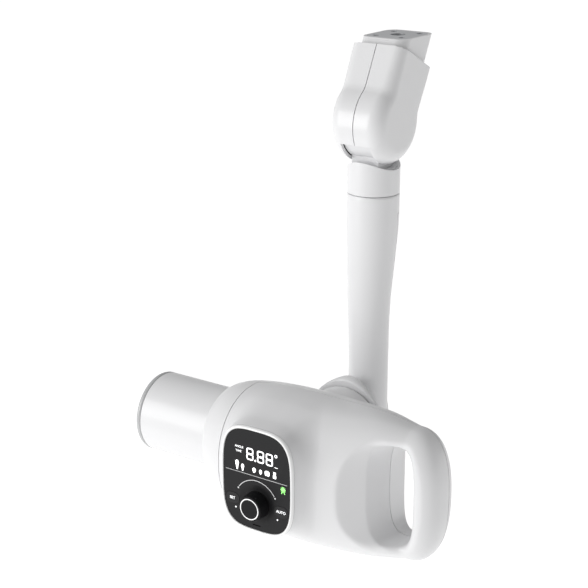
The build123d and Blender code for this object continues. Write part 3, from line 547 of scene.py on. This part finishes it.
def build_elbow(paint):
    data = elbow_skin()
    gap = SEAM / 2

    def open_part(x, y, z):
        along = (y - ELBOW_Y) * cos(ARM_ANGLE) + (z - ELBOW_Z) * sin(ARM_ANGLE)
        slot_top = SLOT_TOP_FRONT if y < ELBOW_Y else SLOT_TOP_BACK
        in_slot = abs(x) < SLOT_HALF_WIDTH and z < slot_top
        return along > SHROUD_REACH or in_slot

    for side, name in ((-1, "left"), (1, "right")):
        planes = [(0, side * gap), (0, side * SLOT_HALF_WIDTH), (2, SLOT_TOP_FRONT), (2, SLOT_TOP_BACK)]
        piece = cut_piece("elbow_" + name, data, planes,
                          lambda x, y, z: x * side < gap or open_part(x, y, z),
                          "arm", paint["casing"])
        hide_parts("elbow_shell_" + name)


def build_cone(paint):
    wall = [(CONE_TIP_X, CONE_BORE), (CONE_TIP_X, CONE_RADIUS - 0.4), (CONE_TIP_X + 0.4, CONE_RADIUS),
            (CONE_INNER_X, CONE_RADIUS), (CONE_INNER_X, CONE_BORE)]
    tube = new_object("beam_cone", turned_about_x("beam_cone", wall), "head", paint["cone"])
    soften(tube, 0.25)
    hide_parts("cone_tube")
    gap = 0.25
    bore = CONE_BORE - 1.2
    lip_end_x = CONE_TIP_X + 5.0
    end = [(CONE_TIP_X - gap, CONE_RADIUS - 0.5), (CONE_TIP_X - gap - 0.4, CONE_RADIUS),
           (RING_TIP_X + 1.4, CONE_RADIUS), (RING_TIP_X + 0.45, CONE_RADIUS - 0.4),
           (RING_TIP_X, CONE_RADIUS - 1.4), (RING_TIP_X, bore + 0.9), (RING_TIP_X + 0.9, bore),
           (lip_end_x, bore), (lip_end_x, CONE_BORE - 0.05), (CONE_TIP_X - gap, CONE_BORE - 0.05)]
    ring = new_object("cone_end", turned_about_x("cone_end", end), "head", paint["ring"])
    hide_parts("cone_end_ring")


def build_bezel(paint):
    lip = BEZEL_LIP
    crown = PANEL_FACE_Y - BEZEL_PROUD
    profile = [(0.1, PANEL_FACE_Y + 2.4), (0.1, crown + 0.5), (0.3, crown + 0.12), (0.8, crown),
               (1.3, crown + 0.1), (1.8, crown + 0.5), (2.15, crown + 1.1), (lip, crown + 2.0),
               (lip, POD_FACE_Y - 0.15), (lip - 0.2, POD_FACE_Y), (-1.5, POD_FACE_Y),
               (-1.5, PANEL_FACE_Y + 2.6)]
    loops = [panel_loop(grow, y) for grow, y in profile]
    bezel = new_object("bezel", loop_mesh("bezel", loops), "head", paint["bezel"])
    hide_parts("panel_bezel")


# ---- printed marks on the panel -----------------------------------------------------------------
PRINT_Y = PANEL_FACE_Y - 0.06
PRINT_DEPTH = 0.05
KEY_PROUD = 0.2                # the key caps stand this far out of the panel


def flat_mesh(name, outlines):
    """Filled outlines of (x, z) points, as a thin raised print."""
    bm = bmesh.new()
    for outline in outlines:
        verts = [bm.verts.new((x, PRINT_Y, z)) for x, z in outline]
        face = bm.faces.new(verts)
        face.normal_update()
        if face.normal.y > 0:
            face.normal_flip()
    extruded = bmesh.ops.extrude_face_region(bm, geom=list(bm.faces))
    moved = [item for item in extruded["geom"] if isinstance(item, bmesh.types.BMVert)]
    bmesh.ops.translate(bm, verts=moved, vec=(0, -PRINT_DEPTH, 0))
    mesh = bpy.data.meshes.new(name)
    bm.to_mesh(mesh)
    bm.free()
    return mesh


def stroke(points, width, closed=False):
    """Outlines of a ribbon along the points: one quad for each stretch, mitred at the joints."""
    count = len(points)
    sides = []
    for i, point in enumerate(points):
        before = Vector(points[i - 1] if closed or i else point)
        after = Vector(points[(i + 1) % count] if closed or i < count - 1 else point)
        here = Vector(point)
        into = (here - before).normalized() if (here - before).length else (after - here).normalized()
        out = (after - here).normalized() if (after - here).length else into
        bisector = (into + out).normalized()
        normal = Vector((-bisector.y, bisector.x))
        half = width / 2 / max(normal.dot(Vector((-out.y, out.x))), 0.4)
        sides.append((tuple(here + normal * half), tuple(here - normal * half)))
    quads = []
    for i in range(count if closed else count - 1):
        a, b = sides[i]
        d, c = sides[(i + 1) % count]
        quads.append([a, b, c, d])
    return quads


def disc(x, z, radius, squash=1.0, count=28):
    turns = [2 * pi * i / count for i in range(count)]
    return [(x + radius * cos(t), z + radius * squash * sin(t)) for t in turns]


def rounded_box(x, z, half_x, half_z, corner, count=6):
    points = []
    for quarter, (sx, sz) in enumerate(((1, 1), (-1, 1), (-1, -1), (1, -1))):
        for i in range(count + 1):
            turn = pi / 2 * (quarter + i / count)
            points.append((x + sx * (half_x - corner) + corner * cos(turn),
                           z + sz * (half_z - corner) + corner * sin(turn)))
    return points


def arc(x, z, radius, start, end, count=48):
    turns = [radians(start + (end - start) * i / count) for i in range(count + 1)]
    return [(x + radius * cos(t), z + radius * sin(t)) for t in turns]


def print_marks(name, outlines, material):
    new_object(name, flat_mesh(name, outlines), "head", material)


READY_SPOT = (14.3, -6.1)
DIGIT_HALF = (2.75, 4.55)
DIGIT_STROKE = 1.15


def digit_eight(x, z):
    half_x, half_z = DIGIT_HALF
    quarter = half_z / 2
    upper = rounded_box(x, z + quarter, half_x, quarter, 1.3)
    lower = rounded_box(x, z - quarter, half_x, quarter, 1.3)
    return stroke(upper, DIGIT_STROKE, True) + stroke(lower, DIGIT_STROKE, True)


def tooth(x, z, half_x, half_z, roots):
    """A crown that narrows towards its roots."""
    outline = []
    for i in range(24):
        turn = 2 * pi * i / 24
        narrow = 1.0 + 0.28 * sin(turn)
        outline.append((x + half_x * narrow * cos(turn), z + half_z * sin(turn)))
    shapes = [outline]
    if roots == 2:
        for side in (-1, 1):
            root_x = x + side * half_x * 0.55
            shapes.append(rounded_box(root_x, z - half_z * 0.45, half_x * 0.35, half_z * 0.5, half_x * 0.3))
    return shapes


def patient(x, z, half_x, half_z):
    """A head over a body that narrows to its foot."""
    head = disc(x, z + half_z * 0.45, half_x, 1.3)
    body = [(x - half_x * 0.85, z + half_z * 0.25), (x - half_x * 0.35, z - half_z),
            (x + half_x * 0.35, z - half_z), (x + half_x * 0.85, z + half_z * 0.25)]
    return [head, body]


def ready_mark(x, z):
    """A round badge with short rays and two ribbons."""
    shapes = [disc(x, z + 0.4, 1.75)]
    for i in range(10):
        turn = 2 * pi * i / 10
        start = (x + 1.5 * cos(turn), z + 0.4 + 1.5 * sin(turn))
        end = (x + 2.45 * cos(turn), z + 0.4 + 2.45 * sin(turn))
        shapes += stroke([start, end], 0.75)
    for side in (-1, 1):
        shapes += stroke([(x + side * 0.7, z - 1.0), (x + side * 1.5, z - 3.3)], 0.8)
    return shapes


# places on the panel, x and z, of what the display shows
DIGITS = [(-17.2, 16.3), (-7.0, 16.2), (1.4, 16.1)]
DECIMAL_POINT = (-12.1, 11.9)
DEGREE_SIGN = (7.6, 20.6)
UNIT_DASH = [(6.2, 11.0), (9.2, 11.0)]
# place, half width and half height of each sign; the teeth also give their number of roots
PATIENTS = [(-29.8, 4.4, 1.7, 4.0), (-24.4, 3.2, 1.4, 2.9)]
TEETH = [(-13.3, 3.6, 1.6, 2.2, 1), (-7.1, 3.6, 1.3, 2.1, 1), (-0.8, 4.1, 2.3, 2.2, 2)]
SENSOR_BOXES = [(6.3, 5.9, 1.2, 1.1), (6.3, 2.9, 1.5, 1.4)]
DIVIDER = [(-41.0, -1.3), (18.0, -1.3)]
DIAL_RADIUS = 20.5             # arc printed round the knob
DIAL_START = 34.0              # degrees above the panel's level line at each end of the arc
DIAL_DOT_AT = 30.0


def build_display(paint):
    marks = []
    for x, z in DIGITS:
        marks += digit_eight(x, z)
    marks.append(disc(*DECIMAL_POINT, 0.85))
    marks += stroke(disc(*DEGREE_SIGN, 1.05, count=20), 0.55, True)
    marks += stroke(UNIT_DASH, 0.5)
    for sign in PATIENTS:
        marks += patient(*sign)
    for sign in TEETH:
        marks += tooth(*sign)
    for x, z, half_x, half_z in SENSOR_BOXES:
        marks.append(rounded_box(x, z, half_x, half_z, 0.4))
    print_marks("display_marks", marks, paint["lit"])

    lines = stroke(DIVIDER, 0.35)
    lines += stroke(arc(PANEL_X, KNOB_Z, DIAL_RADIUS, DIAL_START, 180.0 - DIAL_START), 0.55)
    dot_z = KNOB_Z + DIAL_RADIUS * sin(radians(DIAL_DOT_AT))
    for side in (1, -1):
        dot_x = PANEL_X + side * DIAL_RADIUS * cos(radians(DIAL_DOT_AT))
        lines.append(disc(dot_x, dot_z, 0.75))
    print_marks("panel_lines", lines, paint["print"])
    print_marks("ready_mark", ready_mark(*READY_SPOT), paint["green"])


def panel_text(name, words, x, z, size, material, body, y=PRINT_Y):
    curve = bpy.data.curves.new(name, "FONT")
    curve.body = words
    curve.size = size
    curve.align_x = "CENTER"
    curve.align_y = "CENTER"
    curve.extrude = PRINT_DEPTH / 2
    holder = bpy.data.objects.new(name + "_curve", curve)
    mesh = bpy.data.meshes.new_from_object(holder)
    bpy.data.objects.remove(holder)
    bpy.data.curves.remove(curve)
    mesh.transform(Matrix.Translation((x, y, z)) @ Matrix.Rotation(pi / 2, 4, "X"))
    mesh.materials.clear()
    mesh.name = name
    return new_object(name, mesh, body, material)


def build_labels(paint):
    panel_text("label_angle", "ANGLE", -27.6, 20.2, 2.6, paint["lit"], "head")
    panel_text("label_time", "TIME", -28.2, 16.4, 2.6, paint["lit"], "head")
    key_print_y = PRINT_Y - KEY_PROUD
    panel_text("label_set", "SET", PANEL_X - 23.6, KNOB_Z, 3.3, paint["lit"], "set_button", key_print_y)
    panel_text("label_auto", "AUTO", PANEL_X + 23.4, KNOB_Z, 3.2, paint["lit"], "auto_button", key_print_y)


# ---- materials ----------------------------------------------------------------------------------
CLOUD_SCALE = 14.0             # slow change of tone and gloss over a piece
SPECK_SCALE = 1600.0           # fine grain of a moulded surface
GRAIN_STRENGTH = 0.25
COAT_ROUGHNESS = 0.08


def noise(nodes, links, place, scale, detail):
    texture = nodes.new("ShaderNodeTexNoise")
    texture.inputs["Scale"].default_value = scale
    texture.inputs["Detail"].default_value = detail
    links.new(place.outputs["Object"], texture.inputs["Vector"])
    return texture


def add_tone(nodes, links, cloud, shader, color, shade):
    """The colour, darker by up to the given share where the cloud is thin."""
    tone = nodes.new("ShaderNodeMix")
    tone.data_type = "RGBA"
    tone.inputs["A"].default_value = (*[c * (1 - shade) for c in color], 1)
    tone.inputs["B"].default_value = (*color, 1)
    links.new(cloud.outputs["Fac"], tone.inputs["Factor"])
    links.new(tone.outputs["Result"], shader.inputs["Base Color"])


def add_gloss(nodes, links, cloud, shader, roughness):
    gloss = nodes.new("ShaderNodeMapRange")
    gloss.inputs["To Min"].default_value = roughness * 0.85
    gloss.inputs["To Max"].default_value = roughness * 1.15
    links.new(cloud.outputs["Fac"], gloss.inputs["Value"])
    links.new(gloss.outputs["Result"], shader.inputs["Roughness"])


def add_grain(nodes, links, speck, shader, grain):
    bump = nodes.new("ShaderNodeBump")
    bump.inputs["Strength"].default_value = GRAIN_STRENGTH
    bump.inputs["Distance"].default_value = grain
    links.new(speck.outputs["Fac"], bump.inputs["Height"])
    links.new(bump.outputs["Normal"], shader.inputs["Normal"])


def plastic(name, color, roughness, grain=0.00012, shade=0.03, coat=0.0, metallic=0.0, specular=0.5):
    """Moulded or finished surface: its gloss and tone vary slightly, over a very fine grain."""
    material = bpy.data.materials.new(name)
    material.use_nodes = True
    nodes = material.node_tree.nodes
    links = material.node_tree.links
    shader = nodes["Principled BSDF"]
    shader.inputs["Metallic"].default_value = metallic
    shader.inputs["Specular IOR Level"].default_value = specular
    shader.inputs["Coat Weight"].default_value = coat
    shader.inputs["Coat Roughness"].default_value = COAT_ROUGHNESS
    place = nodes.new("ShaderNodeTexCoord")
    cloud = noise(nodes, links, place, CLOUD_SCALE, 3.0)
    add_tone(nodes, links, cloud, shader, color, shade)
    add_gloss(nodes, links, cloud, shader, roughness)
    speck = noise(nodes, links, place, SPECK_SCALE, 2.0)
    add_grain(nodes, links, speck, shader, grain)
    return material


def metal(name, color, roughness):
    return plastic(name, color, roughness, grain=0.00005, shade=0.15, metallic=1.0)


def glowing(name, color, strength):
    material = plastic(name, color, 0.4, grain=0.00002)
    shader = material.node_tree.nodes["Principled BSDF"]
    shader.inputs["Emission Color"].default_value = (*color, 1)
    shader.inputs["Emission Strength"].default_value = strength
    return material


def make_materials():
    paint = {
        "casing": plastic("casing white", (0.73, 0.73, 0.737), 0.3, coat=0.12),
        "cover": plastic("cover white", (0.74, 0.74, 0.747), 0.3, coat=0.12),
        "cone": plastic("cone white", (0.73, 0.73, 0.737), 0.32, coat=0.1),
        "ring": plastic("end ring", (0.46, 0.465, 0.47), 0.25, coat=0.2),
        "bezel": plastic("bezel white", (0.86, 0.86, 0.86), 0.12, grain=0.00004, coat=0.6),
        "fascia": plastic("fascia black", (0.012, 0.012, 0.013), 0.45, grain=0.00006, shade=0.2,
                          specular=0.2),
        "knob": plastic("knob black", (0.007, 0.007, 0.008), 0.5, grain=0.00015, shade=0.25,
                        specular=0.15),
        "key": plastic("key black", (0.016, 0.016, 0.017), 0.45, grain=0.0001, shade=0.2, specular=0.25),
        "lit": glowing("lit white", (0.95, 0.96, 0.97), 1.1),
        # the white ring round the knob is no lamp: its faint glow is painted light that makes it read a
        # brighter white
        "ring_painted_glow": glowing("ring white", (0.9, 0.9, 0.9), 0.15),
        "print": plastic("printed grey", (0.72, 0.72, 0.73), 0.5, grain=0.00002),
        "green": glowing("lit green", (0.30, 0.75, 0.22), 0.7),
        "casting": plastic("casting grey", (0.72, 0.72, 0.73), 0.4, grain=0.0002, shade=0.05),
        "steel": metal("zinc steel", (0.60, 0.61, 0.63), 0.32),
        "aluminium": metal("aluminium", (0.72, 0.73, 0.75), 0.36),
        "bronze": metal("bronze", (0.62, 0.46, 0.24), 0.34),
        "copper": metal("copper", (0.70, 0.38, 0.25), 0.35),
        "lead": metal("lead", (0.30, 0.31, 0.33), 0.55),
        "polymer": plastic("dark polymer", (0.03, 0.03, 0.033), 0.5, shade=0.2),
        "board": plastic("board green", (0.03, 0.16, 0.09), 0.45, shade=0.25),
        "ferrite": plastic("ferrite", (0.05, 0.05, 0.055), 0.6, grain=0.0003, shade=0.2),
        "glass": plastic("tube glass", (0.75, 0.82, 0.82), 0.1, grain=0.00001),
    }
    return paint


SLOT_PAINT = {
    "white_casing": "casing", "white_cover": "cover", "cone_plastic": "cone", "clear_ring": "ring",
    "bezel_white": "bezel", "black_fascia": "fascia", "knob_black": "knob", "key_black": "key",
    # the knob's ring takes the material whose faint glow is painted light
    "ring_white": "ring_painted_glow", "indicator_white": "lit", "indicator_green": "fascia",
    "grey_casting": "casting", "plain_aluminium": "aluminium", "steel": "steel", "bronze": "bronze",
    "lead": "lead", "tube_glass": "glass", "copper_anode": "copper", "ferrite": "ferrite",
    "winding": "copper", "circuit_board": "board", "dark_polymer": "polymer",
}


def paint_cad_nodes(frame, paint):
    slots = {entry["node"]: entry["material_slot"] for entry in frame["record"]["subparts"]}
    for node, obj in frame["nodes"].items():
        material = paint[SLOT_PAINT[slots[node]]]
        obj.data.materials.clear()
        obj.data.materials.append(material)


# ---- studio -------------------------------------------------------------------------------------
CAMERA_POINT = Vector((603.7, -893.4, 486.7))
CAMERA_TURN = 34.8             # degrees round the object from straight in front of the panel
CAMERA_RISE = 18.1
LENS_MM = 89.3
FLOOR_Z = -600.0
FLOOR_REACH = 30000.0
FLOOR_GLOW = 0.6               # light of its own, so that the floor stays white far from the lamps
BRIGHT_SIDE = (-0.8, -0.6, -0.1)  # the studio is brightest in this direction
DARKEST = 0.2                  # and shades evenly from here
BRIGHTEST = 0.8                # to here
LIGHTS = [                     # name, place, the point it faces, width and height, watts
    ("key", (-900, -1200, 450), (0, 0, 60), (800, 1000), 11.0),
    ("top", (-300, 300, 1500), (0, 0, 60), (1400, 500), 1.0),
    ("fill", (1200, 900, 300), (0, 90, 150), (800, 1200), 1.0),
]


def point_in_frame(point):
    return (Vector(point) - ARM_END) * MM


def build_camera():
    camera = bpy.data.cameras.new("camera")
    camera.lens = LENS_MM
    camera.sensor_width = 36.0
    camera.clip_end = 50.0
    obj = bpy.data.objects.new("camera", camera)
    bpy.context.scene.collection.objects.link(obj)
    turn = radians(CAMERA_TURN)
    rise = radians(CAMERA_RISE)
    backwards = Vector((sin(turn) * cos(rise), -cos(turn) * cos(rise), sin(rise)))
    obj.location = point_in_frame(CAMERA_POINT)
    obj.rotation_euler = backwards.to_track_quat("Z", "Y").to_euler()
    bpy.context.scene.camera = obj


def build_floor():
    mesh = bpy.data.meshes.new("floor")
    corners = [(u * FLOOR_REACH, v * FLOOR_REACH, FLOOR_Z) for u, v in ((-1, -1), (1, -1), (1, 1), (-1, 1))]
    mesh.from_pydata(corners, [], [(0, 1, 2, 3)])
    to_frame(mesh)
    floor = bpy.data.objects.new("floor", mesh)
    bpy.context.scene.collection.objects.link(floor)
    paper = plastic("floor", (0.93, 0.93, 0.93), 0.9, shade=0.01)
    shader = paper.node_tree.nodes["Principled BSDF"]
    shader.inputs["Emission Color"].default_value = (1, 1, 1, 1)
    shader.inputs["Emission Strength"].default_value = FLOOR_GLOW
    mesh.materials.append(paper)


def soft_light(name, point, aim, size, power):
    light = bpy.data.lights.new(name, "AREA")
    light.shape = "RECTANGLE"
    light.size = size[0] * MM
    light.size_y = size[1] * MM
    light.energy = power
    obj = bpy.data.objects.new(name, light)
    bpy.context.scene.collection.objects.link(obj)
    obj.location = point_in_frame(point)
    look = point_in_frame(point) - point_in_frame(aim)
    obj.rotation_euler = look.to_track_quat("Z", "Y").to_euler()


def build_world():
    """Even white light that falls off gently away from the bright side."""
    world = bpy.data.worlds.new("studio")
    world.use_nodes = True
    nodes = world.node_tree.nodes
    links = world.node_tree.links
    place = nodes.new("ShaderNodeTexCoord")
    facing = nodes.new("ShaderNodeVectorMath")
    facing.operation = "DOT_PRODUCT"
    facing.inputs[1].default_value = Vector(BRIGHT_SIDE).normalized()
    level = nodes.new("ShaderNodeMapRange")
    level.inputs["From Min"].default_value = -1.0
    level.inputs["From Max"].default_value = 1.0
    level.inputs["To Min"].default_value = DARKEST
    level.inputs["To Max"].default_value = BRIGHTEST
    links.new(place.outputs["Generated"], facing.inputs[0])
    links.new(facing.outputs["Value"], level.inputs["Value"])
    links.new(level.outputs["Result"], nodes["Background"].inputs["Strength"])
    nodes["Background"].inputs["Color"].default_value = (1, 1, 1, 1)
    bpy.context.scene.world = world


def build_studio():
    build_camera()
    build_floor()
    build_world()
    for name, point, aim, size, power in LIGHTS:
        soft_light(name, point, aim, size, power)
    bpy.context.scene.view_settings.view_transform = "Standard"


# ---- build everything ---------------------------------------------------------------------------
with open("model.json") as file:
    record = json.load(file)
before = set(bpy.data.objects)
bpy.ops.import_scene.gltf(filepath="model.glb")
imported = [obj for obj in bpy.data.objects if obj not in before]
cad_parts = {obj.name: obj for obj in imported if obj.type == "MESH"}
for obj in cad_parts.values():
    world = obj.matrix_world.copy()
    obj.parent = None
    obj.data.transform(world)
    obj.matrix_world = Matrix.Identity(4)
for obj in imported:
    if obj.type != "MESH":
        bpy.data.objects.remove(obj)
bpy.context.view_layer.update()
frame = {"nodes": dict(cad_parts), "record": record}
paint = make_materials()
paint_cad_nodes(frame, paint)
build_head(paint)
build_stalk(paint)
build_elbow(paint)
build_cone(paint)
build_bezel(paint)
build_display(paint)
build_labels(paint)
build_studio()
